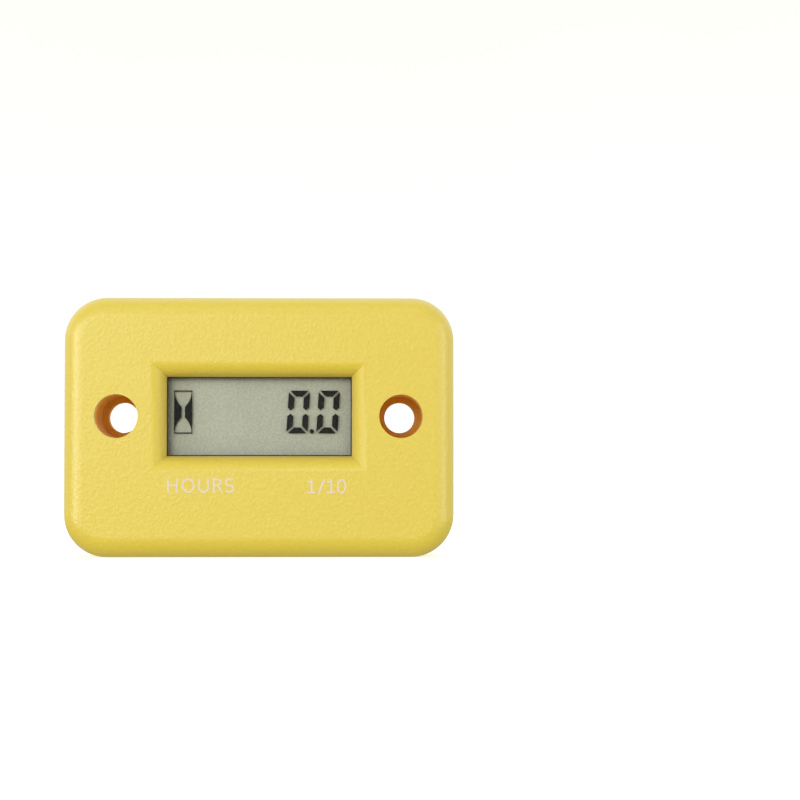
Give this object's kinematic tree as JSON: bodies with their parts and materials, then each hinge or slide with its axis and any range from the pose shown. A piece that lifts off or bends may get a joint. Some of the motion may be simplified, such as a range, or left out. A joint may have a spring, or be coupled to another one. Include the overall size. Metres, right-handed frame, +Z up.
{
  "type": "hour meter",
  "caption": "Flat rounded rectangular hour meter with a recessed liquid crystal counter behind a rounded bezel, fixed to a panel by screws in counterbored holes.",
  "frame": {"origin": "midway between the two panel screw holes, on the plane of the back face", "axes": "+X to the right seen from the front, +Y out of the back into the panel, +Z up; the display faces -Y"},
  "size_m": [0.06, 0.014, 0.0399],
  "materials": {
    "case_plastic": "fine matte moulded yellow",
    "seal_rubber": "black rubber",
    "clear_plastic": "clear polished pane",
    "display_glass": "thin clear glass",
    "reflector_film": "grey-green diffusing reflector",
    "frame_plastic": "white moulded plastic",
    "strip_rubber": "layered conductive rubber",
    "board_laminate": "green coated laminate",
    "chip_resin": "black resin",
    "bright_metal": "nickel strip and plated can",
    "capacitor_ceramic": "sintered ceramic",
    "resistor_ceramic": "dark coated ceramic",
    "diode_glass": "orange glass",
    "terminal_brass": "turned brass",
    "cell_steel": "pressed steel can",
    "insulating_paper": "varnished insulating paper",
    "screw_steel": "zinc plated steel",
    "cover_plastic": "black moulded plastic",
    "grommet_rubber": "black rubber bush"
  },
  "bodies": {
    "root": {"front_case": "case_plastic", "window_seal": "seal_rubber", "window_lens": "clear_plastic", "lcd_front_glass": "display_glass", "lcd_rear_glass": "display_glass", "rear_reflector": "reflector_film", "display_frame": "frame_plastic", "upper_zebra_strip": "strip_rubber", "lower_zebra_strip": "strip_rubber", "circuit_board": "board_laminate", "controller_blob": "chip_resin", "clock_crystal": "bright_metal", "chip_capacitors": "capacitor_ceramic", "chip_resistors": "resistor_ceramic", "input_transistor": "chip_resin", "clamp_diode": "diode_glass", "lead_terminal": "terminal_brass", "coin_cell": "cell_steel", "positive_tab": "bright_metal", "negative_tab": "bright_metal", "cell_insulator": "insulating_paper", "board_screws": "screw_steel", "back_cover": "cover_plastic", "cover_gasket": "seal_rubber", "cover_screws": "screw_steel", "lead_grommet": "grommet_rubber"}
  },
  "joints": []
}
